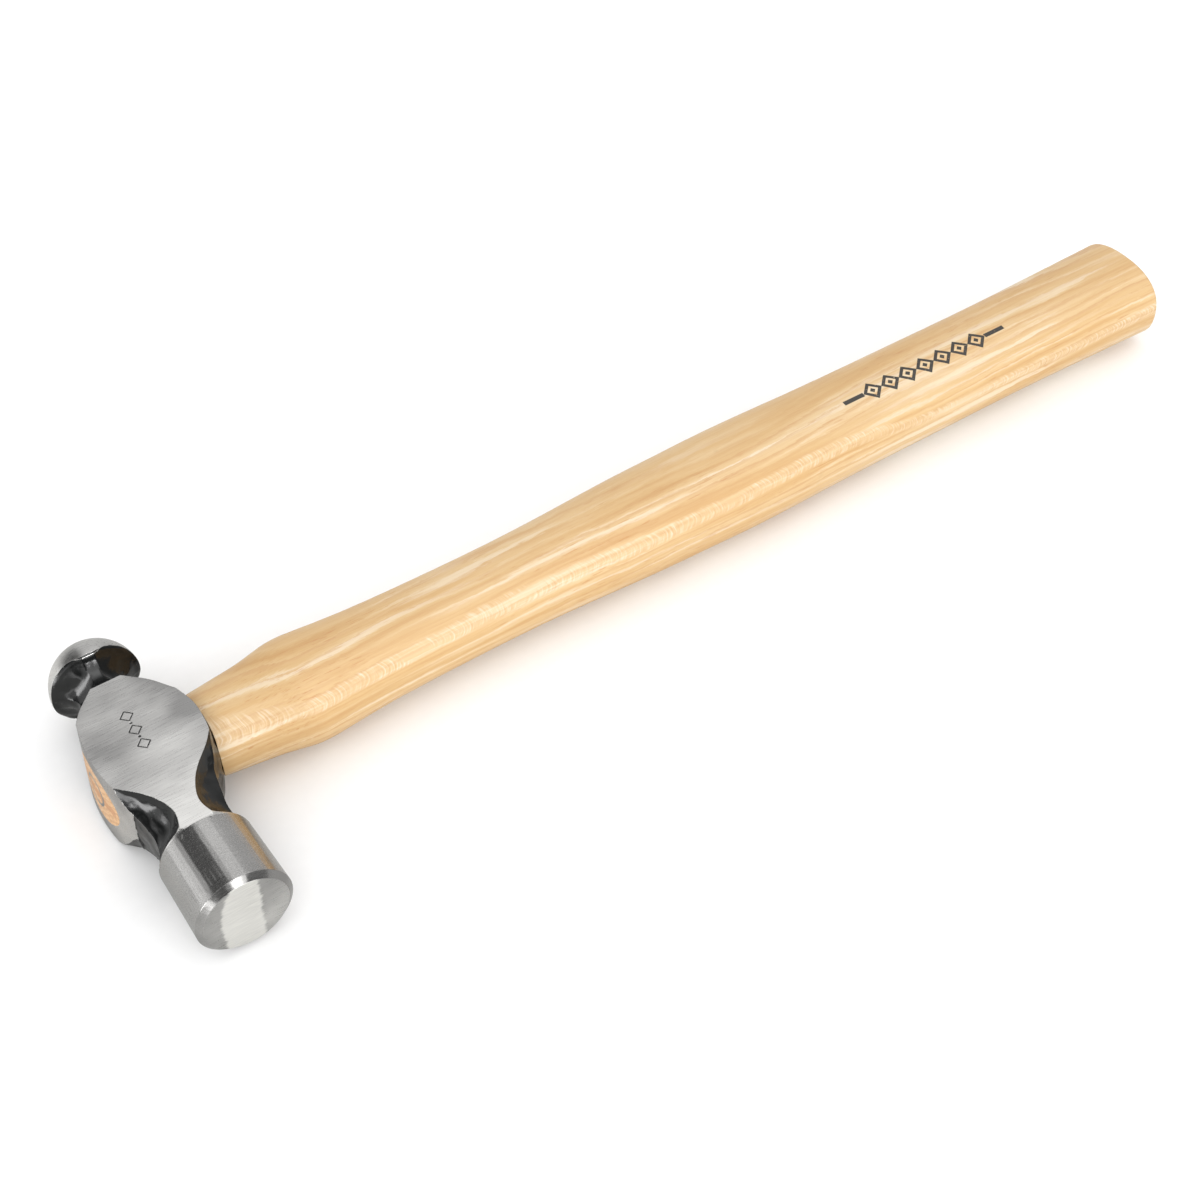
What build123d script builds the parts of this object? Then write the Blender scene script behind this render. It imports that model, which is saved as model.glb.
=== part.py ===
"""Ball pein hammer: a forged steel head on a hickory handle, held by a wooden and a steel wedge.

Frame: the origin is the centre of the striking face, +Y runs along the head towards the ball,
+X along the handle towards its butt and +Z up out of the upper cheek. Millimetres.
"""

from build123d import *
from math import cos, pi, sin, sqrt
import os

# Poll: the turned, slightly tapered striking end.
face_radius = 13.0
poll_back_radius = 12.55
poll_length = 22.2
face_chamfer_length = 1.45
face_chamfer_depth = 1.7

# Where the eye stands along the head, and the ball beyond it.
eye_offset = 55.8
ball_offset = 32.3
ball_radius = 12.5

# The cheeks are ground flat. The top around the eye is ground to an arc along the head, a few
# degrees out of square with the cheeks.
cheek_height = 11.9
top_height = 14.55
top_radius = 52.0
top_arc_offset = -1.5
top_ground_reach = 18.6
top_tilt = 3.5

# The turned shape is left open between the poll and the ball, where the forging stays.
poll_back = 22.8
envelope_radius = 26.0
envelope_opens = 26.2
envelope_closes = -12.0
ball_collar = -6.0

# The eye is waisted: oval half sizes (along the head, across it) at three depths.
eye_sizes = [(-20.0, 12.8, 9.0), (0.0, 11.1, 7.6), (17.6, 12.1, 8.4)]
handle_seat_x = 13.6

# Wooden wedge in the saw kerf, and the round steel wedge driven in over it.
kerf_depth = 20.0
wedge_top_thickness = 2.8
wedge_tip_thickness = 0.7
wedge_half_width = 10.4
ring_radius = 4.8
ring_wall = 0.9
ring_tip_wall = 0.4
ring_depth = 8.0

# Forging sections of the eye block and the poll's neck, evenly spaced along the head. Each is
# (top half width, top height, ridge half width, ridge height, waist half width, hollow depth).
body_start = -34.2
body_pitch = 2.4
body_sections = [
    (3.9, 12.5, 12.65, 1.55, 12.75, -2.15),
    (3.65, 12.4, 11.3, 2.6, 11.4, -0.55),
    (3.25, 12.4, 10.25, 3.85, 10.5, 0.55),
    (3.1, 12.4, 9.9, 5.1, 10.15, 0.8),
    (3.55, 12.4, 10.2, 5.9, 10.5, 0.8),
    (4.45, 12.4, 10.6, 6.4, 10.9, 0.7),
    (5.7, 12.4, 11.1, 6.9, 11.55, 0.55),
    (7.5, 12.4, 11.75, 7.3, 12.4, 0.5),
    (9.7, 12.4, 12.8, 8.5, 13.8, 0.35),
    (11.9, 12.4, 13.8, 10.1, 15.1, 0.12),
    (13.7, 12.4, 14.65, 11.3, 16.05, 0.05),
    (14.95, 12.4, 15.35, 11.95, 16.75, 0.05),
    (15.3, 12.4, 15.7, 12.0, 17.1, 0.05),
    (15.5, 12.4, 15.9, 12.0, 17.3, 0.05),
    (15.6, 12.4, 16.0, 12.0, 17.4, 0.05),
    (15.5, 12.4, 15.9, 12.0, 17.3, 0.05),
    (15.1, 12.4, 15.45, 12.0, 16.85, 0.05),
    (14.55, 12.4, 14.8, 12.0, 16.25, 0.05),
    (13.75, 12.4, 14.1, 11.8, 15.45, 0.06),
    (12.4, 12.4, 13.1, 10.75, 14.1, 0.13),
    (10.9, 12.4, 12.05, 9.25, 12.8, 0.25),
    (9.1, 12.4, 10.9, 7.4, 11.55, 0.5),
    (6.65, 12.4, 9.7, 5.95, 10.15, 0.85),
    (4.1, 12.4, 8.55, 4.45, 8.85, 1.0),
]

# Forging sections of the pein's neck and the flare behind the ball, in the same order.
pein_start = 19.0
pein_pitch = 2.7
pein_sections = [
    (4.2, 11.6, 8.6, 5.0, 8.8, 0.9),
    (3.2, 10.9, 7.9, 3.9, 8.1, 1.0),
    (2.1, 8.7, 7.3, 2.6, 7.5, 0.7),
    (1.7, 7.5, 7.0, 1.9, 7.1, 0.4),
    (1.7, 8.8, 8.5, 1.7, 8.6, -0.1),
    (1.7, 12.7, 12.6, 1.7, 12.7, -1.4),
    (1.7, 18.2, 18.2, 1.7, 18.3, -2.9),
]

# Handle outside the eye: (distance from the head's axis, half width, half thickness).
grip_sections = [
    (handle_seat_x, 11.3, 7.8),
    (16.6, 12.5, 9.0),
    (20.0, 12.8, 9.4),
    (27.0, 13.5, 10.0),
    (34.0, 14.4, 10.8),
    (40.0, 15.6, 11.7),
    (44.0, 15.9, 12.0),
    (50.0, 15.5, 11.8),
    (60.0, 14.7, 11.3),
    (75.0, 14.1, 10.9),
    (95.0, 13.9, 10.7),
    (115.0, 14.1, 10.8),
    (135.0, 14.9, 11.5),
    (160.0, 15.9, 12.2),
    (185.0, 16.3, 12.6),
    (215.0, 15.8, 12.2),
    (245.0, 15.6, 12.0),
    (275.0, 15.5, 12.0),
    (305.0, 15.9, 12.3),
    (325.0, 16.4, 12.6),
    (337.2, 16.8, 12.7),
]
handle_squareness = 2.4
outline_points = 16
butt_rounding = 1.6

# How far a cutting tool or a blank stands past the shape that it makes.
excess = 1.0
ring_excess = 3.0

# Blocks that take the head's flats: one wider and longer than the head, and one over its top.
head_block = (52.0, 104.0)
top_block_start = -36.0
top_block_end = -7.3

ball_y = eye_offset + ball_offset


def forging_outline(half_top, top, ridge_x, ridge_z, waist, hollow):
    """Eight-sided outline: flat top and bottom, bowed sides and a hollow at each corner."""
    across, down = ridge_x - half_top, top - ridge_z
    length = sqrt(across**2 + down**2)
    mid_x = (half_top + ridge_x) / 2 - hollow * down / length
    mid_z = (top + ridge_z) / 2 - hollow * across / length
    Line((-half_top, top), (half_top, top))
    ThreePointArc((half_top, top), (mid_x, mid_z), (ridge_x, ridge_z))
    ThreePointArc((ridge_x, ridge_z), (waist, 0), (ridge_x, -ridge_z))
    ThreePointArc((ridge_x, -ridge_z), (mid_x, -mid_z), (half_top, -top))
    Line((half_top, -top), (-half_top, -top))
    ThreePointArc((-half_top, -top), (-mid_x, -mid_z), (-ridge_x, -ridge_z))
    ThreePointArc((-ridge_x, -ridge_z), (-waist, 0), (-ridge_x, ridge_z))
    ThreePointArc((-ridge_x, ridge_z), (-mid_x, mid_z), (-half_top, top))


def across_head(offset):
    """Plane square to the head at an offset from the eye, its x along X and its y along Z."""
    return Plane(origin=(0, eye_offset + offset, 0), x_dir=(1, 0, 0), z_dir=(0, -1, 0))


def across_handle(x):
    """Plane square to the handle, its x along Y and its y along Z."""
    return Plane(origin=(x, eye_offset, 0), x_dir=(0, 1, 0), z_dir=(1, 0, 0))


def grip_outline(half_width, half_thickness):
    """Squarish oval through evenly spread points."""
    power = 2 / handle_squareness
    points = []
    for index in range(outline_points):
        c, s = cos(2 * pi * index / outline_points), sin(2 * pi * index / outline_points)
        points.append((
            half_width * abs(c) ** power * (1 if c > 0 else -1),
            half_thickness * abs(s) ** power * (1 if s > 0 else -1),
        ))
    Spline(*points, periodic=True)


def turned_outline():
    """Half outline of what the head is turned to: chamfered face, tapered poll and ball."""
    Polyline(
        (0, 0),
        (face_radius - face_chamfer_depth, 0),
        (face_radius, face_chamfer_length),
        (poll_back_radius, poll_back),
        (envelope_radius, envelope_opens),
        (envelope_radius, ball_y + envelope_closes),
        (ball_radius, ball_y + ball_collar),
        (ball_radius, ball_y),
    )
    RadiusArc((ball_radius, ball_y), (0, ball_y + ball_radius), -ball_radius)
    Line((0, ball_y + ball_radius), (0, 0))


# The eye's space, waisted in the middle and running out past both mouths.
with BuildPart(mode=Mode.PRIVATE) as eye_space:
    for x, half_length, half_width in eye_sizes:
        with BuildSketch(across_handle(x)):
            Ellipse(half_length, half_width)
    loft()

# What is ground away above the eye: a block less the round that stays.
with BuildPart(mode=Mode.PRIVATE) as top_grinding:
    with BuildSketch(Plane.XY.rotated((0, top_tilt, 0))):
        with Locations(((top_block_start + top_block_end) / 2, eye_offset)):
            Rectangle(top_block_end - top_block_start, 2 * top_ground_reach)
        with Locations((top_radius - top_height, eye_offset + top_arc_offset)):
            Circle(top_radius, mode=Mode.SUBTRACT)
    extrude(amount=2 * cheek_height, both=True)

with BuildPart(mode=Mode.PRIVATE) as turned_envelope:
    with BuildSketch(Plane.XY):
        with BuildLine():
            turned_outline()
        make_face()
    revolve(axis=Axis.Y)

with BuildPart() as head:
    for index, section in enumerate(body_sections):
        with BuildSketch(across_head(body_start + index * body_pitch)):
            with BuildLine():
                forging_outline(*section)
            make_face()
    loft()
    # The cheeks are ground flat before the pein's lower neck is added.
    with Locations((0, eye_offset, 0)):
        Box(*head_block, 2 * cheek_height, mode=Mode.INTERSECT)
    for index, section in enumerate(pein_sections):
        with BuildSketch(across_head(pein_start + index * pein_pitch)):
            with BuildLine():
                forging_outline(*section)
            make_face()
    loft()
    with BuildSketch(Plane.XZ):
        Circle(face_radius + excess)
    extrude(amount=-poll_length)
    with BuildSketch(Plane.XZ.offset(-(ball_y + excess))):
        Circle(ball_radius + excess)
    extrude(amount=-ball_radius)
    add(turned_envelope.part, mode=Mode.INTERSECT)
    add(top_grinding.part, mode=Mode.SUBTRACT)
    add(eye_space.part, mode=Mode.SUBTRACT)

# The shaped end of the handle that fills the eye, ground flush with the head's top.
with BuildPart(mode=Mode.PRIVATE) as tenon:
    add(eye_space.part)
    add(top_grinding.part, mode=Mode.SUBTRACT)

with BuildPart() as ring_wedge:
    with BuildSketch(Plane.XY):
        with BuildLine():
            Polyline(
                (-top_height - ring_excess, eye_offset + ring_radius),
                (ring_depth - top_height, eye_offset + ring_radius),
                (ring_depth - top_height, eye_offset + ring_radius - ring_tip_wall),
                (-top_height, eye_offset + ring_radius - ring_wall),
                (-top_height - ring_excess, eye_offset + ring_radius - ring_wall),
                close=True,
            )
        make_face()
    revolve(axis=Axis((0, eye_offset, 0), (1, 0, 0)))
    add(tenon.part, mode=Mode.INTERSECT)

with BuildPart() as wooden_wedge:
    with BuildSketch(Plane.XZ.offset(-eye_offset)):
        with BuildLine():
            Polyline(
                (-top_height - excess, wedge_top_thickness / 2),
                (kerf_depth - top_height, wedge_tip_thickness / 2),
                (kerf_depth - top_height, -wedge_tip_thickness / 2),
                (-top_height - excess, -wedge_top_thickness / 2),
                close=True,
            )
        make_face()
    extrude(amount=wedge_half_width, both=True)
    add(tenon.part, mode=Mode.INTERSECT)
    add(ring_wedge.part, mode=Mode.SUBTRACT)

with BuildPart() as handle:
    for x, half_width, half_thickness in grip_sections:
        with BuildSketch(across_handle(x)):
            with BuildLine():
                grip_outline(half_width, half_thickness)
            make_face()
    loft()
    fillet(handle.faces().sort_by(Axis.X)[-1].edges(), butt_rounding)
    add(head.part, mode=Mode.SUBTRACT)
    add(tenon.part)
    add(wooden_wedge.part, mode=Mode.SUBTRACT)
    add(ring_wedge.part, mode=Mode.SUBTRACT)

os.makedirs("parts", exist_ok=True)
head.part.label = "head"
export_step(head.part, "parts/head.step")
handle.part.label = "handle"
export_step(handle.part, "parts/handle.step")
wooden_wedge.part.label = "wooden_wedge"
export_step(wooden_wedge.part, "parts/wooden_wedge.step")
ring_wedge.part.label = "ring_wedge"
export_step(ring_wedge.part, "parts/ring_wedge.step")
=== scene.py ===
"""Ball pein hammer: materials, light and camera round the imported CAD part. Metres, row frame."""

import math

import bmesh
import bpy
import numpy as np
from mathutils import Matrix, Vector, noise


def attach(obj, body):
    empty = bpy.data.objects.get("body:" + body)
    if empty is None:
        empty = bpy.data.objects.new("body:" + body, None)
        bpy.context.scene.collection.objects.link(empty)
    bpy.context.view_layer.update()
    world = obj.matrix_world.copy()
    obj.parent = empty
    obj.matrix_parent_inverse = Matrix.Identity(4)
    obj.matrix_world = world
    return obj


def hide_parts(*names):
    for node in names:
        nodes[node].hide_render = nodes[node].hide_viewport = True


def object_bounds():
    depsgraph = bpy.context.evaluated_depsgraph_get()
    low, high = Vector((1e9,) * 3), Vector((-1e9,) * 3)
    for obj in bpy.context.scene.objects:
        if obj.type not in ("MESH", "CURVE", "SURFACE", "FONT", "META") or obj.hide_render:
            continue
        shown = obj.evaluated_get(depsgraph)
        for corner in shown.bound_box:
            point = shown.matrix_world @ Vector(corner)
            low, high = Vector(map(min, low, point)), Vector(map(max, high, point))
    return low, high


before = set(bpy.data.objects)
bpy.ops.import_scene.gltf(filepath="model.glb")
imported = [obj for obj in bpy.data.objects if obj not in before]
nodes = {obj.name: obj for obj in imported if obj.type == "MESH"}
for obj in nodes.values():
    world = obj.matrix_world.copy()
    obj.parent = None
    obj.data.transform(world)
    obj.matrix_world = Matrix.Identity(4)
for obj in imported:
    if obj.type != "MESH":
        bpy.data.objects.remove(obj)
cad_low, cad_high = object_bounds()


def srgb(red, green, blue):
    """Linear colour from 0 to 255 display values."""
    def linear(value):
        value /= 255
        return value / 12.92 if value <= 0.04045 else ((value + 0.055) / 1.055) ** 2.4
    return (linear(red), linear(green), linear(blue), 1.0)


# Sizes of the CAD model that the materials follow.
EYE_Y = 0.0558
CHEEK_HEIGHT = 0.0119
TOP_RADIUS = 0.052
TOP_HEIGHT = 0.01455
TOP_ARC_Y = EYE_Y - 0.0015
TOP_REACH = 0.0187
TOP_TILT = math.radians(3.5)
POLL_LENGTH = 0.0222
FACE_RADIUS = 0.013
POLL_BACK_RADIUS = 0.01255
CHAMFER_LENGTH = 0.00145
POLL_TAPER = (FACE_RADIUS - POLL_BACK_RADIUS) / (POLL_LENGTH - CHAMFER_LENGTH)
BALL_Y = EYE_Y + 0.0323
BALL_RADIUS = 0.0125
TURNED_MARGIN = 0.0015  # how far the poll's cone and the ball's sphere run on into the hollows
BUTT_X = 0.3372

# Noise frequencies are per metre along X, Y and Z. Two numbers for a step are where it starts and ends.

# Ground steel: how deep under the CAD surface the black starts, and its ragged border.
SKIN = 0.000015
CHEEK_LIMIT = (0.00012, 0.00008)
RAGGED_BORDER = (700, 700, 700)
RAGGED_START = 0.52
RAGGED_DEPTH = 0.0007

# Ground steel: lines, grain, tones from dark to light, and how far each area's tone lies from STEEL_TONE;
# the lighter neck and right side of the face are painted highlights, the darker cheek by the eye is
# painted shade.
BELT_LINES = (180, 3000, 3000)
TURNED_GRAIN = (3400, 3400, 3400)
CLOUDS = (50, 70, 70)
CLOUDS_PLACE = (3.7, 1.3, 0.0)
FLAT_FACE_END = 0.00012
POLL_END = POLL_LENGTH + 0.0008
STEEL_TONE = 0.385
NECK_HIGHLIGHT = 0.29
HANDLE_SIDE_SHADE = -0.24
FACE_RIGHT_HIGHLIGHT = 0.22
BALL_TONE = 0.22
POLL_TONE = 0.09
STEEL_COLOURS = (
    (0.20, srgb(150, 149, 148)),
    (0.50, srgb(193, 192, 190)),
    (0.80, srgb(228, 227, 224)),
)
STEEL_ROUGHNESS = 0.30
LINES_ROUGHNESS = 0.30
LINES_HEIGHT = 0.022
SOFT_EDGE = 0.00018

# The band of coarser grinding down the middle of the face; its lighter colour is partly the rougher grind
# and partly a painted highlight.
BAND_LEFT = (-0.0073, -0.0063)
BAND_RIGHT = (0.0046, 0.0036)
BAND_WANDER = 0.0065
BAND_WANDER_NOISE = (0, 0, 380)
BAND_BEND = 34.0
BAND_SLANT = 0.06
BAND_ROUGHNESS = 0.24
BAND_HIGHLIGHT_COLOUR = srgb(237, 236, 231)

# Black lacquer, with a few worn specks.
LACQUER = (0.004, 0.0045, 0.0045, 1)
LACQUER_WORN = (0.12, 0.11, 0.10, 1)
LACQUER_ROUGHNESS = 0.17
LACQUER_WORN_ROUGHNESS = 0.57
LACQUER_SPECKS = (1500, 1500, 1500)
LACQUER_RIPPLE = (500, 500, 500)
LACQUER_RIPPLE_HEIGHT = 0.05
LACQUER_IOR = 1.48

# Hickory: the growth layers' centre line, how they stray from it, and what is seen of them.
LAYERS_CENTRE = (-0.060, -0.080)
LAYERS_STRAY = (
    # frequency, detail, roughness, reach
    ((6, 14, 14), 2, 0.4, 0.010),
    ((24, 110, 110), 2, 0.5, 0.0022),
    ((120, 1300, 1300), 4, 0.75, 0.0017),
)
RINGS_PER_METRE = 520
FIBRES = (45, 2200, 2200)
PORES = (150, 2400, 2400)
PORE_PATCHES = (20, 120, 120)
WOOD_COLOURS = (
    (0.34, srgb(189, 146, 91)),
    (0.45, srgb(201, 165, 113)),
    (0.56, srgb(209, 179, 133)),
    (0.68, srgb(217, 196, 162)),
)
LATE_WOOD = srgb(184, 133, 79)
FIBRE_COLOUR = srgb(186, 138, 87)
PALE_STREAK = srgb(221, 204, 177)
PORE_COLOUR = srgb(182, 120, 60)
GREYED_WOOD = srgb(150, 122, 84)
WOOD_ROUGHNESS = 0.46
FIBRES_ROUGHNESS = 0.2
WOOD_RELIEF = 0.00010

# Ray flecks: bands of crescents along the two shoulders, nearer the middle on the grip.
FLECK_HEIGHT = 0.0071
FLECK_DROP = 0.0044
FLECK_DROP_X = (0.213, 0.250)
FLECK_STRAY = 0.0035
FLECK_BORDER = (0.0019, 0.0012)
FLECK_BEND = 420.0
FLECK_LENGTHWISE = 1500
FLECK_CROSSWISE = 220
FLECK_PATCHES = (60, 160, 160)
FLECK_GROUND = srgb(216, 189, 151)
# The light crescents are partly pale figure and partly painted glints on the ripple crests.
FLECK_PALE_AND_GLINT = srgb(231, 219, 198)
FLECK_DARK = srgb(184, 137, 85)

# End grain on the butt and on the tenon, of which only the top shows.
END_GRAIN_BUTT = (BUTT_X - 0.0010, BUTT_X - 0.0004)
END_GRAIN_TENON = (-0.008, -0.009)
END_PORES = (60, 1500, 1500)
END_EARLY = srgb(222, 176, 124)
END_LATE = srgb(186, 132, 82)
END_PORE_COLOUR = srgb(136, 92, 56)

# The printed mark on the handle: seven diamonds between two dashes.
INK_START = 0.222
INK_END = 0.283
INK_Y = 0.052
INK_PITCH = 0.0066
INK_ROW_HALF = 3.5 * INK_PITCH
INK_SIZE = 0.0027
INK_STROKE = 0.0013
INK_DOT = 0.0009
INK_DASH_HALF = 0.0007
INK_EDGE = 0.0001
INK_WEAR = (1400, 3000, 3000)
INK_COLOUR = (0.008, 0.008, 0.008, 1)

# The forged skin between the ground faces: noise frequencies with their weights.
LUMP_START = 0.00004
LUMP_FULL = 0.0016
LUMP_DEPTH = 0.00034
LUMP_MEAN = 0.6
LUMPS = ((230, 1.0), (520, 0.22), (1600, 0.03))
REMESH_DEPTH = 8
REMESH_SCALE = 0.97
SHARP_ANGLE = math.radians(35)

# The plain stamp on the upper cheek: three diamonds with dots between them.
STAMP_X = -0.0003
STAMP_SIZE = 0.00175
STAMP_DEPTH = 0.00011
STAMP_WALL = (0.00003, 0.00016)
STAMP_DIAMONDS = (0.0525, 0.0578, 0.0631)
STAMP_DOTS = (0.05515, 0.06045)
STAMP_DOT_RADIUS = 0.00022
STAMP_MARGIN = 0.0005
STAMP_CUTS = 3

# Floor and light. Radiances are of the panels' own faces.
FLOOR_HALF = 3.9
PAPER_COLOURS = ((0.0, (0.90, 0.90, 0.90, 1)), (1.0, (0.93, 0.93, 0.93, 1)))
PAPER_MIRRORED = (0.56, 0.56, 0.55, 1)
ROOM = 4.0
CEILING = 1.17
WALLS = (
    # name, side of the room, radiance
    ("front_wall", (0, -1), 2.45),
    ("back_wall", (0, 1), 1.05),
    ("left_wall", (-1, 0), 1.35),
    ("right_wall", (1, 0), 1.35),
)
HEAD = Vector((0, 0.03, 0))
LAMPS = (
    # name, direction from the head, distance, width, height, radiance
    ("left_lamp", (-0.95, -0.12, 0.27), 1.2, 0.50, 0.38, 8.5),
    ("side_window", (-0.87, -0.45, 0.12), 1.3, 0.45, 0.30, 5.0),
    ("corner_lamp", (-0.60, -0.79, 0.07), 1.2, 0.30, 0.12, 2.6),
    ("front_lamp", (0.11, -0.95, 0.28), 1.2, 0.12, 0.12, 22.0),
)

# What the metal and the varnish mirror of the studio, by direction.
STUDIO_DIM = 0.07
STRIP_FRONT = 2.4
STRIP_BACK = 1.05
STRIP_FAR_DROP = -0.45
RIGHT_FRONT = 0.2
RIGHT_BACK = 0.56
LEFT_BOX = 1.0
LOW_LEFT = 0.3
CROWN = 0.7

# Camera: looking down over the poll, handle to the right.
CAMERA_PLACE = (-0.0729, -0.2788, 0.3994)
AZIMUTH = math.radians(-32.25)
ELEVATION = math.radians(46.91)
ROLL = math.radians(-2.0)
LENS = 60.0
SENSOR = 36.0


class Graph:
    """Short calls that build one tree of shader nodes."""

    def __init__(self, tree, coordinates="Object"):
        self.tree = tree
        self.place = self.new("TexCoord").outputs[coordinates]
        split = self.new("SeparateXYZ")
        self.put(self.place, split.inputs[0])
        self.x, self.y, self.z = split.outputs

    def new(self, kind):
        return self.tree.nodes.new("ShaderNode" + kind)

    def put(self, value, socket):
        """A link if value is a socket, else the socket's own value."""
        if isinstance(value, bpy.types.NodeSocket):
            self.tree.links.new(value, socket)
        elif value is not None:
            socket.default_value = value

    def math(self, operation, a, b=None):
        node = self.new("Math")
        node.operation = operation
        self.put(a, node.inputs[0])
        self.put(b, node.inputs[1])
        return node.outputs[0]

    def add(self, a, b):
        return self.math("ADD", a, b)

    def sub(self, a, b):
        return self.math("SUBTRACT", a, b)

    def mul(self, a, b):
        return self.math("MULTIPLY", a, b)

    def square(self, a):
        return self.mul(a, a)

    def high(self, a, b):
        return self.math("MAXIMUM", a, b)

    def absolute(self, a):
        return self.math("ABSOLUTE", a)

    def below(self, a, b):
        return self.math("LESS_THAN", a, b)

    def above(self, a, b):
        return self.math("GREATER_THAN", a, b)

    def centred(self, a):
        """Noise from 0 to 1 made to swing about 0."""
        return self.sub(a, 0.5)

    def length(self, *parts):
        total = self.square(parts[0])
        for part in parts[1:]:
            total = self.add(total, self.square(part))
        return self.math("SQRT", total)

    def total(self, base, *parts):
        """base plus each part's mask times its weight."""
        for mask, weight in parts:
            base = self.add(base, self.mul(mask, weight))
        return base

    def between(self, share, a, b):
        """Number a where share is 0 and b where it is 1."""
        return self.total(a, (share, b - a))

    def step(self, value, start, end):
        """0 at start and 1 at end, smooth in between."""
        node = self.new("MapRange")
        node.interpolation_type = "SMOOTHSTEP"
        self.put(value, node.inputs["Value"])
        node.inputs["From Min"].default_value = start
        node.inputs["From Max"].default_value = end
        return node.outputs["Result"]

    def vector(self, *parts):
        node = self.new("CombineXYZ")
        for value, socket in zip(parts, node.inputs):
            self.put(value, socket)
        return node.outputs[0]

    def scaled(self, frequency, offset):
        """The place times a frequency for each axis, moved by an offset to another part of a noise."""
        node = self.new("Mapping")
        self.put(self.place, node.inputs["Vector"])
        node.inputs["Location"].default_value = offset
        node.inputs["Scale"].default_value = frequency
        return node.outputs[0]

    def noise(self, place, detail=3, roughness=0.5, offset=(0, 0, 0)):
        """Noise from 0 to 1 at a place: a socket, or a frequency for each axis."""
        if isinstance(place, tuple):
            place = self.scaled(place, offset)
        node = self.new("TexNoise")
        self.put(place, node.inputs["Vector"])
        node.inputs["Scale"].default_value = 1.0
        node.inputs["Detail"].default_value = detail
        node.inputs["Roughness"].default_value = roughness
        return node.outputs[0]

    def mix(self, share, a, b):
        """Colour a where share is 0 or less and b where it is 1 or more."""
        node = self.new("Mix")
        node.data_type = "RGBA"
        self.put(share, node.inputs[0])
        self.put(a, node.inputs[6])
        self.put(b, node.inputs[7])
        return node.outputs[2]

    def ramp(self, value, stops):
        """Colour ramp of (position, colour) stops."""
        node = self.new("ValToRGB")
        self.put(value, node.inputs[0])
        elements = node.color_ramp.elements
        while len(elements) < len(stops):
            elements.new(0.5)
        for element, (position, colour) in zip(elements, stops):
            element.position = position
            element.color = colour
        return node.outputs[0]

    def bump(self, height, distance, strength=1.0, under=None):
        node = self.new("Bump")
        self.put(height, node.inputs["Height"])
        self.put(under, node.inputs["Normal"])
        node.inputs["Distance"].default_value = distance
        node.inputs["Strength"].default_value = strength
        return node.outputs[0]

    def bevel(self, radius):
        node = self.new("Bevel")
        node.inputs["Radius"].default_value = radius
        return node.outputs[0]

    def ray(self, kind):
        """1 where the light path's ray is of that kind."""
        return self.new("LightPath").outputs[kind]

    def shader(self, **inputs):
        """Principled shader; an input's name has its spaces written as underscores."""
        node = self.new("BsdfPrincipled")
        for name, value in inputs.items():
            self.put(value, node.inputs[name.replace("_", " ")])
        return node.outputs[0]


def material(name, build):
    """A material whose surface is the shader that build makes with its graph."""
    made = bpy.data.materials.new(name)
    made.use_nodes = True
    made.node_tree.nodes.clear()
    g = Graph(made.node_tree)
    g.put(build(g), g.new("OutputMaterial").inputs["Surface"])
    return made


def ground_mask(g):
    """1 on the ground and turned steel, 0 in the lacquered hollows, as on the CAD head."""
    ragged = g.noise(RAGGED_BORDER, detail=4, roughness=0.7)
    ragged = g.mul(g.high(g.sub(ragged, RAGGED_START), 0.0), RAGGED_DEPTH)

    def reached(above):
        return g.step(above, -2 * SKIN, -SKIN)

    above_cheek = g.sub(g.absolute(g.z), CHEEK_HEIGHT)
    cheek = g.mul(reached(g.add(above_cheek, ragged)), g.step(above_cheek, *CHEEK_LIMIT))

    across = g.sub(g.mul(g.x, math.cos(TOP_TILT)), g.mul(g.z, math.sin(TOP_TILT)))
    from_axis = g.length(g.sub(across, TOP_RADIUS - TOP_HEIGHT), g.sub(g.y, TOP_ARC_Y))
    top = reached(g.add(g.sub(from_axis, TOP_RADIUS), ragged))
    top = g.mul(top, g.below(g.absolute(g.sub(g.y, EYE_Y)), TOP_REACH))
    top = g.mul(top, g.below(g.x, 0.0))

    above_poll = g.sub(g.length(g.x, g.z), FACE_RADIUS)
    above_poll = g.total(above_poll, (g.sub(g.y, CHAMFER_LENGTH), POLL_TAPER))
    poll = g.mul(reached(above_poll), g.below(g.y, POLL_LENGTH + TURNED_MARGIN))
    front = g.below(g.y, CHAMFER_LENGTH * 1.2)

    ball = reached(g.sub(g.length(g.x, g.sub(g.y, BALL_Y), g.z), BALL_RADIUS))
    ball = g.mul(ball, g.above(g.y, BALL_Y - TURNED_MARGIN))

    mask = cheek
    for surface in (top, poll, front, ball):
        mask = g.high(mask, surface)
    return mask


def face_band(g, flat_face):
    """1 on the band of coarser grinding, which leans at the top and has ragged sides."""
    wander = g.centred(g.noise(BAND_WANDER_NOISE, detail=6, roughness=0.8))
    place = g.total(g.x, (wander, BAND_WANDER))
    left = g.sub(place, g.mul(g.square(g.high(g.z, 0.0)), BAND_BEND))
    right = g.sub(place, g.mul(g.z, BAND_SLANT))
    return g.mul(g.mul(g.step(left, *BAND_LEFT), g.step(right, *BAND_RIGHT)), flat_face)


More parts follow.
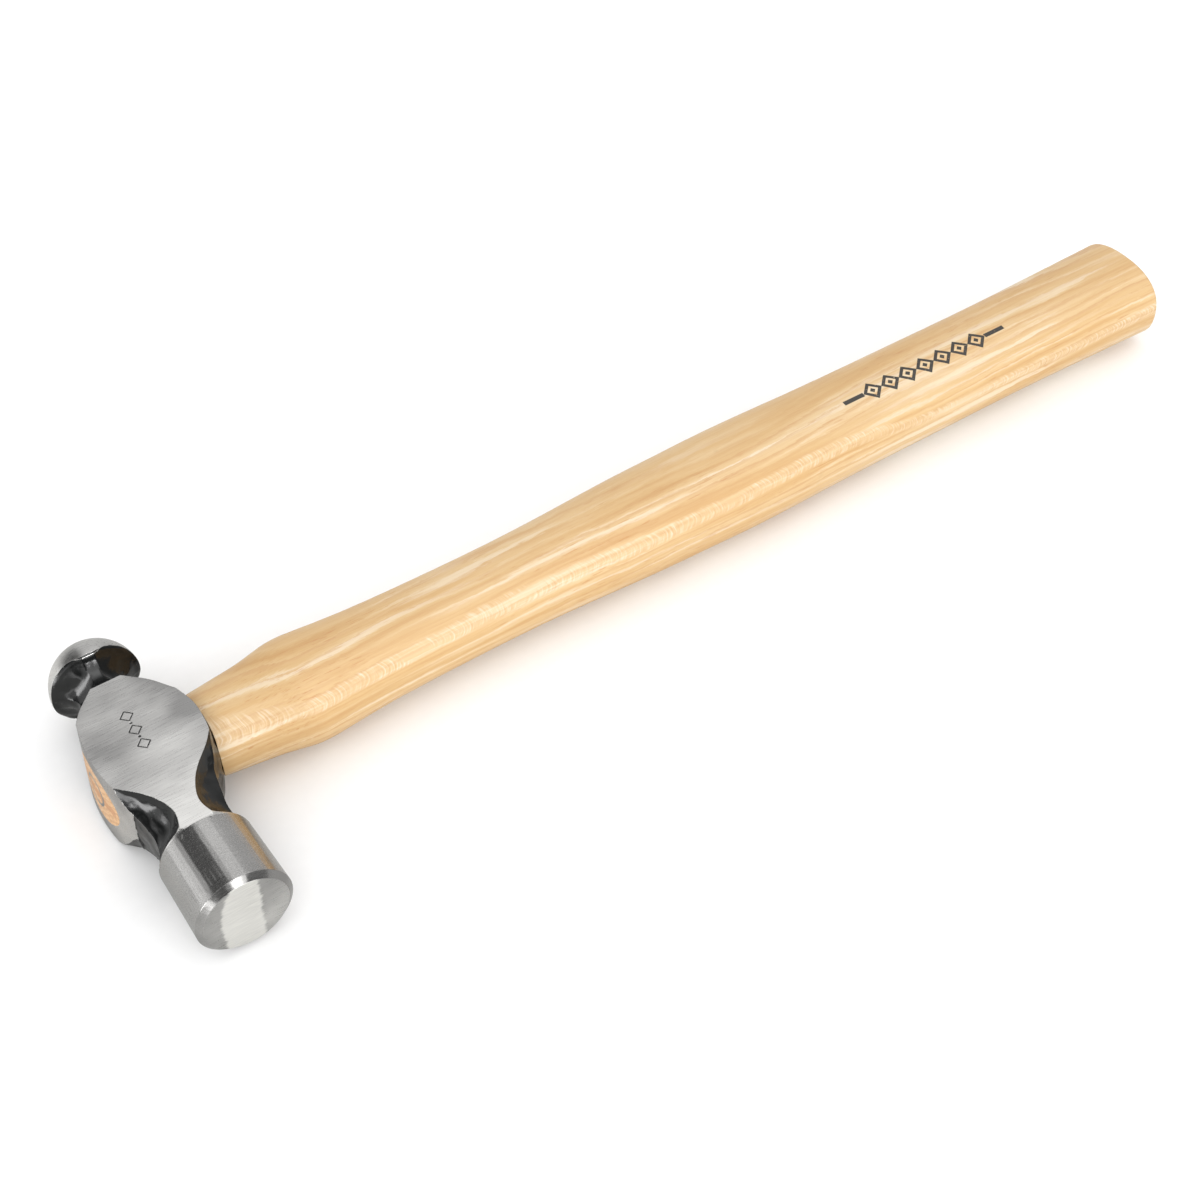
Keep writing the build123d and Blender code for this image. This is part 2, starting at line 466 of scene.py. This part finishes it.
def head_steel(g):
    ground = ground_mask(g)
    black = g.sub(1.0, ground)
    flat_face = g.below(g.y, FLAT_FACE_END)
    front = g.below(g.y, CHAMFER_LENGTH)
    chamfer = g.sub(front, flat_face)
    poll = g.sub(g.below(g.y, POLL_END), front)
    ball = g.above(g.y, BALL_Y - TURNED_MARGIN)
    # Painted highlight: the steel is lightened over the neck between the poll and the eye.
    painted_neck_highlight = g.mul(g.step(g.y, 0.054, 0.032), g.above(g.y, POLL_LENGTH))
    # Painted shade: the steel is darkened beside the eye towards the handle.
    painted_shade_by_eye = g.mul(g.step(g.x, 0.001, 0.013), g.step(g.y, 0.045, 0.058))
    # Painted highlight: the flat face is lightened on its right side.
    face_right_highlight = g.mul(flat_face, g.step(g.x, 0.001, 0.006))

    # Belt lines run along the handle; the poll has more of a fine turned grain.
    belt = g.noise(BELT_LINES, roughness=0.6)
    grain = g.noise(TURNED_GRAIN, roughness=0.6)
    lines = g.mul(belt, g.between(poll, 0.75, 0.15))
    lines = g.add(lines, g.mul(grain, g.between(poll, 0.25, 0.65)))
    cloud = g.noise(CLOUDS, detail=2, roughness=0.4, offset=CLOUDS_PLACE)
    tone = g.total(
        STEEL_TONE,
        (g.centred(lines), g.between(poll, 0.4, 0.9)),
        (g.centred(cloud), g.between(poll, 1.1, 0.2)),
        (painted_neck_highlight, NECK_HIGHLIGHT),
        (painted_shade_by_eye, HANDLE_SIDE_SHADE),
        (face_right_highlight, FACE_RIGHT_HIGHLIGHT),
        (ball, BALL_TONE),
        (poll, POLL_TONE),
    )
    steel = g.ramp(tone, STEEL_COLOURS)
    band = face_band(g, flat_face)
    # Painted highlight: the band is lightened, partly for its rougher grind.
    steel = g.mix(g.mul(band, g.between(belt, 1.2, 0.3)), steel, BAND_HIGHLIGHT_COLOUR)
    rough_steel = g.total(
        STEEL_ROUGHNESS,
        (g.centred(lines), LINES_ROUGHNESS),
        (band, BAND_ROUGHNESS),
        (poll, -0.02),
        (chamfer, -0.09),
    )

    specks = g.step(g.noise(LACQUER_SPECKS, detail=2), 0.72, 0.80)
    lacquer = g.mix(specks, LACQUER, LACQUER_WORN)
    rough_lacquer = g.between(specks, LACQUER_ROUGHNESS, LACQUER_WORN_ROUGHNESS)
    ripple = g.noise(LACQUER_RIPPLE, detail=2)
    height = g.total(
        g.mul(g.mul(lines, ground), LINES_HEIGHT),
        (g.mul(ripple, black), LACQUER_RIPPLE_HEIGHT),
    )
    return g.shader(
        Base_Color=g.mix(ground, lacquer, steel),
        Metallic=ground,
        Roughness=g.add(g.mul(rough_steel, ground), g.mul(rough_lacquer, black)),
        IOR=LACQUER_IOR,
        Anisotropic=0.7,
        Tangent=g.mix(flat_face, g.vector(0.0, 1.0, 0.0), g.vector(0.0, 0.0, 1.0)),
        Normal=g.bump(height, 0.001, 0.6, g.bevel(SOFT_EDGE)),
    )


def growth_layers(g, across):
    """Distance from the growth layers' centre line: they lie nearly flat and drift along the handle."""
    layers = g.length(g.sub(across, LAYERS_CENTRE[0]), g.sub(g.z, LAYERS_CENTRE[1]))
    for frequency, detail, roughness, reach in LAYERS_STRAY:
        stray = g.noise(frequency, detail=detail, roughness=roughness)
        layers = g.total(layers, (g.centred(stray), reach))
    return layers


def ray_flecks(g, across):
    """The flecks' band, and the crescents in it, light above 0 and dark below; the light crests are
    partly pale wood and partly painted glints.
    """
    side = g.math("SIGN", g.mul(across, -1.0))
    bend = g.noise(g.vector(g.mul(g.x, 18), 0.0, side), detail=1)
    height = g.total(
        FLECK_HEIGHT,
        (g.step(g.x, *FLECK_DROP_X), -FLECK_DROP),
        (g.centred(bend), FLECK_STRAY),
    )
    from_middle = g.sub(g.mul(g.z, side), height)
    inside = g.step(g.absolute(from_middle), *FLECK_BORDER)
    uneven = g.centred(g.noise((260, 260, 260), detail=1))
    phase = g.total(g.x, (g.square(from_middle), FLECK_BEND), (uneven, 0.0016))
    crescents = g.vector(g.mul(phase, FLECK_LENGTHWISE), g.mul(from_middle, FLECK_CROSSWISE), side)
    crescents = g.mul(g.centred(g.noise(crescents, detail=2, roughness=0.6)), 4.5)
    patches = g.step(g.noise(FLECK_PATCHES), 0.32, 0.52)
    return inside, g.mul(g.mul(crescents, inside), patches)


def end_grain(g, colour, rings):
    """The wood's colour with end grain on the butt and the tenon's top: rings and open pores in rows."""
    end = g.high(g.step(g.x, *END_GRAIN_BUTT), g.step(g.x, *END_GRAIN_TENON))
    pores = g.step(g.noise(END_PORES, detail=2), 0.50, 0.62)
    end_colour = g.mix(g.mul(g.step(rings, 0.35, 0.9), 0.55), END_EARLY, END_LATE)
    end_colour = g.mix(g.mul(pores, 0.35), end_colour, END_PORE_COLOUR)
    return g.mix(end, colour, end_colour)


def printed_mark(g):
    """1 on the ink of the generic mark along the handle's upper side."""
    from_row = g.absolute(g.sub(g.y, INK_Y))
    from_middle = g.absolute(g.sub(g.x, (INK_START + INK_END) / 2))
    half = (INK_END - INK_START) / 2
    half_pitch = INK_PITCH / 2
    along = g.math("PINGPONG", g.add(from_middle, half_pitch), half_pitch)
    diamond = g.add(g.sub(half_pitch, along), from_row)
    ring = g.absolute(g.sub(diamond, INK_SIZE))
    ink = g.step(ring, INK_STROKE / 2 + INK_EDGE, INK_STROKE / 2)
    ink = g.high(ink, g.step(diamond, INK_DOT + INK_EDGE, INK_DOT))
    ink = g.mul(ink, g.below(from_middle, INK_ROW_HALF))
    dash = g.step(from_row, INK_DASH_HALF + INK_EDGE, INK_DASH_HALF)
    dash = g.mul(dash, g.step(from_middle, INK_ROW_HALF, INK_ROW_HALF + INK_EDGE))
    dash = g.mul(dash, g.step(from_middle, half, half - INK_EDGE))
    ink = g.mul(g.high(ink, dash), g.above(g.z, 0.0))
    return g.mul(ink, g.step(g.noise(INK_WEAR, roughness=0.7), 0.30, 0.36))


def hickory(g):
    across = g.sub(g.y, EYE_Y)
    layers = growth_layers(g, across)
    rings = g.math("FRACT", g.mul(layers, RINGS_PER_METRE))
    late = g.mul(g.step(rings, 0.45, 0.93), g.step(rings, 1.0, 0.94))
    # Two noises drawn out along the handle and stacked with the layers.
    uneven = g.noise(g.vector(g.mul(g.x, 14), g.mul(layers, 620), 0), roughness=0.55)
    broad = g.noise(g.vector(g.mul(g.x, 6), g.mul(layers, 230), 3.0), detail=2)
    fibre = g.noise(FIBRES, detail=4, roughness=0.7)
    pale = g.mul(g.step(uneven, 0.50, 0.62), g.step(broad, 0.42, 0.56))
    pores = g.step(g.noise(PORES, detail=2), 0.60, 0.70)
    pores = g.mul(pores, g.step(g.noise(PORE_PATCHES, detail=1), 0.42, 0.60))
    inside, flecks = ray_flecks(g, across)

    # The wood is greyed a little beside the head and in a few small spots.
    greyed_by_head = g.mul(g.step(g.x, 0.021, 0.0145), g.noise((300, 300, 300)))
    spots = g.step(g.noise((70, 110, 110), detail=2), 0.73, 0.80)

    colour = g.ramp(g.add(g.mul(uneven, 0.45), g.mul(broad, 0.55)), WOOD_COLOURS)
    for mask, weight, tint in (
        (g.mul(late, g.step(broad, 0.35, 0.6)), 0.46, LATE_WOOD),
        (g.step(fibre, 0.45, 0.75), 0.35, FIBRE_COLOUR),
        (pale, 0.55, PALE_STREAK),
        (pores, 0.50, PORE_COLOUR),
        (inside, 0.28, FLECK_GROUND),
        # Painted glints: the light crescents are lightened partly for the glints on their crests.
        (flecks, 0.50, FLECK_PALE_AND_GLINT),
        (flecks, -0.42, FLECK_DARK),
        (g.high(g.mul(greyed_by_head, 0.7), spots), 0.40, GREYED_WOOD),
    ):
        colour = g.mix(g.mul(mask, weight), colour, tint)
    colour = end_grain(g, colour, rings)
    colour = g.mix(g.mul(printed_mark(g), 0.98), colour, INK_COLOUR)

    relief = g.total(g.mul(fibre, 0.35), (flecks, 0.5), (pores, -0.7))
    surface = g.bump(relief, WOOD_RELIEF, 0.5)
    return g.shader(
        Base_Color=colour,
        Roughness=g.total(WOOD_ROUGHNESS, (g.centred(fibre), FIBRES_ROUGHNESS)),
        Coat_Weight=0.34,
        Coat_Roughness=0.17,
        Normal=surface,
        Coat_Normal=surface,
    )


def wedge_wood(g):
    fibre = g.noise((900, 300, 2600))
    colour = g.ramp(fibre, ((0.3, srgb(168, 120, 84)), (0.7, srgb(205, 156, 112))))
    return g.shader(Base_Color=colour, Roughness=0.6, Normal=g.bump(fibre, 0.00005))


def wedge_steel(g):
    lines = g.noise((4000, 300, 4000))
    colour = g.ramp(lines, ((0.3, srgb(140, 140, 138)), (0.7, srgb(176, 175, 172))))
    return g.shader(Base_Color=colour, Metallic=1.0, Roughness=0.45, Normal=g.bump(lines, 0.00002))


def floor_paper(g):
    """Pale paper, which polished metal mirrors darker than the bright sweep that the eye sees."""
    paper = g.ramp(g.noise((300, 300, 300), detail=2), PAPER_COLOURS)
    return g.shader(Base_Color=g.mix(g.ray("Is Glossy Ray"), paper, PAPER_MIRRORED), Roughness=0.9)


def studio(g):
    """Brightness of the studio by direction; the camera itself sees it white."""
    behind = g.step(g.y, -0.35, 0.35)
    strip = g.mul(g.step(g.x, -0.12, 0.10), g.step(g.total(g.x, (behind, -0.12)), 0.40, 0.28))
    strip_light = g.between(behind, STRIP_FRONT, STRIP_BACK)
    strip_light = g.total(strip_light, (g.step(g.y, 0.56, 0.72), STRIP_FAR_DROP))
    left_box = g.mul(g.step(g.z, 0.02, 0.12), g.step(g.z, 0.58, 0.46))
    light = g.total(
        STUDIO_DIM,
        (strip, strip_light),
        (g.step(g.x, 0.38, 0.52), g.between(behind, RIGHT_FRONT, RIGHT_BACK)),
        (g.mul(g.step(g.x, -0.48, -0.66), left_box), LEFT_BOX),
        (g.mul(g.step(g.x, 0.0, -0.1), g.step(g.z, 0.35, 0.1)), LOW_LEFT),
        (g.mul(g.step(g.y, 0.42, 0.28), g.step(g.z, 0.60, 0.80)), CROWN),
    )
    return g.high(light, g.ray("Is Camera Ray"))


def smooth(value, start, end):
    """0 below start and 1 above end, smooth in between."""
    share = np.clip((value - start) / (end - start), 0, 1)
    return share * share * (3 - 2 * share)


def ground_depth(points):
    """How deep each point lies under the nearest ground or turned surface of the head."""
    x, y, z = points.T
    cheek = CHEEK_HEIGHT - np.abs(z)
    cheek[cheek < -0.0001] = 1
    across = x * math.cos(TOP_TILT) - z * math.sin(TOP_TILT)
    top = TOP_RADIUS - np.hypot(across - (TOP_RADIUS - TOP_HEIGHT), y - TOP_ARC_Y)
    top[(x > 0) | (np.abs(y - EYE_Y) > TOP_REACH)] = 1
    poll = FACE_RADIUS - (y - CHAMFER_LENGTH) * POLL_TAPER - np.hypot(x, z)
    poll[y > POLL_LENGTH + TURNED_MARGIN] = 1
    poll[y < CHAMFER_LENGTH] = 0
    ball = BALL_RADIUS - np.linalg.norm(points - (0, BALL_Y, 0), axis=1)
    ball[y < BALL_Y - TURNED_MARGIN] = 1
    return np.minimum.reduce([cheek, top, poll, ball])


def forging_lumps(points):
    """How far the forged surface lies under the smooth one, between the ground faces."""
    under = ground_depth(points)
    depth = np.zeros(len(points))
    for index in np.flatnonzero(under > LUMP_START):
        place = Vector(points[index])
        lump = sum(weight * noise.noise(place * frequency) for frequency, weight in LUMPS)
        depth[index] = max(0.0, LUMP_DEPTH * (LUMP_MEAN + lump))
    return depth * smooth(under, LUMP_START, LUMP_FULL)


def stamped_depth(points):
    """How deep the stamp's punched lines and dots lie under the upper cheek."""
    x, y, z = points.T
    distance = np.full(len(points), 1.0)
    for place in STAMP_DIAMONDS:
        outline = np.abs(np.abs(x - STAMP_X) + np.abs(y - place) - STAMP_SIZE) / math.sqrt(2)
        distance = np.minimum(distance, outline)
    for place in STAMP_DOTS:
        distance = np.minimum(distance, np.hypot(x - STAMP_X, y - place) - STAMP_DOT_RADIUS)
    depth = STAMP_DEPTH * (1 - smooth(distance, *STAMP_WALL))
    return np.where(z > CHEEK_HEIGHT - 1e-5, depth, 0)


def on_stamp(face):
    """Whether the face lies on the upper cheek, on the stamp or just beside it."""
    centre = face.calc_center_median()
    reach = STAMP_SIZE + STAMP_MARGIN
    return (
        centre.z > CHEEK_HEIGHT - 1e-6
        and abs(centre.x - STAMP_X) < reach
        and STAMP_DIAMONDS[0] - reach < centre.y < STAMP_DIAMONDS[-1] + reach
    )


def add_object(name, data):
    made = bpy.data.objects.new(name, data)
    bpy.context.scene.collection.objects.link(made)
    return made


def forged_head():
    """The head as a fine mesh, with its forging lumps and its stamp as real shape."""
    coarse = add_object("coarse_head", nodes["head"].data.copy())
    remesh = coarse.modifiers.new("remesh", "REMESH")
    remesh.mode = "SHARP"
    remesh.octree_depth = REMESH_DEPTH
    remesh.scale = REMESH_SCALE
    remesh.use_remove_disconnected = False
    fine = coarse.evaluated_get(bpy.context.evaluated_depsgraph_get())
    mesh = bpy.data.meshes.new_from_object(fine)
    bpy.data.objects.remove(coarse)
    mesh.name = "forged_head"

    sheet = bmesh.new()
    sheet.from_mesh(mesh)
    stamped = set(filter(on_stamp, sheet.faces))
    edges = [edge for edge in sheet.edges if not stamped.isdisjoint(edge.link_faces)]
    bmesh.ops.subdivide_edges(sheet, edges=edges, cuts=STAMP_CUTS, use_grid_fill=True)
    # The remesh lets a few tiny edges touch each other; closing them leaves one clean skin.
    bmesh.ops.collapse(sheet, edges=[edge for edge in sheet.edges if len(edge.link_faces) > 2])
    sheet.to_mesh(mesh)
    sheet.free()

    points = np.empty(len(mesh.vertices) * 3)
    normals = np.empty(len(mesh.vertices) * 3)
    mesh.vertices.foreach_get("co", points)
    mesh.vertices.foreach_get("normal", normals)
    points, normals = points.reshape(-1, 3), normals.reshape(-1, 3)
    depth = forging_lumps(points) + stamped_depth(points)
    mesh.vertices.foreach_set("co", (points - normals * depth[:, None]).ravel())
    mesh.shade_smooth()
    mesh.set_sharp_from_angle(angle=SHARP_ANGLE)
    mesh.materials.clear()
    mesh.materials.append(material("head_steel", head_steel))
    piece = add_object("forged_head", mesh)
    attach(piece, "root")
    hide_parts("head")


def dress(node, finish):
    slots = nodes[node].data.materials
    for index in range(len(slots)):
        slots[index] = finish


def panel(name, place, target, width, height, radiance, glossy=True, diffuse=True):
    """Softbox: an area light facing target, of an even radiance."""
    data = bpy.data.lights.new(name, "AREA")
    data.shape = "RECTANGLE"
    data.size, data.size_y = width, height
    data.energy = radiance * width * height * math.pi
    light = add_object(name, data)
    light.location = place
    light.rotation_mode = "QUATERNION"
    light.rotation_quaternion = (Vector(target) - Vector(place)).to_track_quat("-Z", "Y")
    light.visible_glossy = glossy
    light.visible_diffuse = diffuse
    light.visible_camera = False


forged_head()
dress("handle", material("handle_wood", hickory))
dress("wooden_wedge", material("wedge_wood", wedge_wood))
dress("ring_wedge", material("wedge_steel", wedge_steel))

# Floor: a wide pale sheet under the poll and the handle, as the hammer lies on its side.
corners = [(x * FLOOR_HALF, y * FLOOR_HALF, cad_low.z) for x, y in ((-1, -1), (1, -1), (1, 1), (-1, 1))]
floor_mesh = bpy.data.meshes.new("floor")
floor_mesh.from_pydata(corners, [], [(0, 1, 2, 3)])
floor_mesh.materials.append(material("floor_paper", floor_paper))
floor = add_object("floor", floor_mesh)

# An even box of light keeps the shadows short and soft. Only the lamps and the studio show in the metal.
panel("ceiling", (0, 0, ROOM), (0, 0, 0), 2 * ROOM, 2 * ROOM, CEILING, glossy=False)
for name, (x, y), radiance in WALLS:
    place = (x * ROOM, y * ROOM, ROOM / 2)
    panel(name, place, (0, 0, ROOM / 2), 2 * ROOM, ROOM, radiance, glossy=False)
for name, direction, distance, width, height, radiance in LAMPS:
    panel(name, HEAD + distance * Vector(direction), HEAD, width, height, radiance, diffuse=False)

world = bpy.data.worlds.new("studio")
bpy.context.scene.world = world
world.use_nodes = True
world.cycles_visibility.diffuse = False
background = world.node_tree.nodes["Background"]
background.inputs["Color"].default_value = (1, 1, 1, 1)
g = Graph(world.node_tree, "Generated")
g.put(studio(g), background.inputs["Strength"])

camera_data = bpy.data.cameras.new("camera")
camera_data.lens = LENS
camera_data.sensor_width = SENSOR
camera_data.clip_start, camera_data.clip_end = 0.01, 50.0
camera = add_object("camera", camera_data)
flat = math.cos(ELEVATION)
back = Vector((math.sin(AZIMUTH) * flat, -math.cos(AZIMUTH) * flat, math.sin(ELEVATION)))
level = Vector((math.cos(AZIMUTH), math.sin(AZIMUTH), 0))
right = math.cos(ROLL) * level + math.sin(ROLL) * back.cross(level)
turn = Matrix((right, back.cross(right), back)).transposed().to_4x4()
camera.matrix_world = Matrix.Translation(CAMERA_PLACE) @ turn
bpy.context.scene.camera = camera
bpy.context.scene.view_settings.view_transform = "Standard"
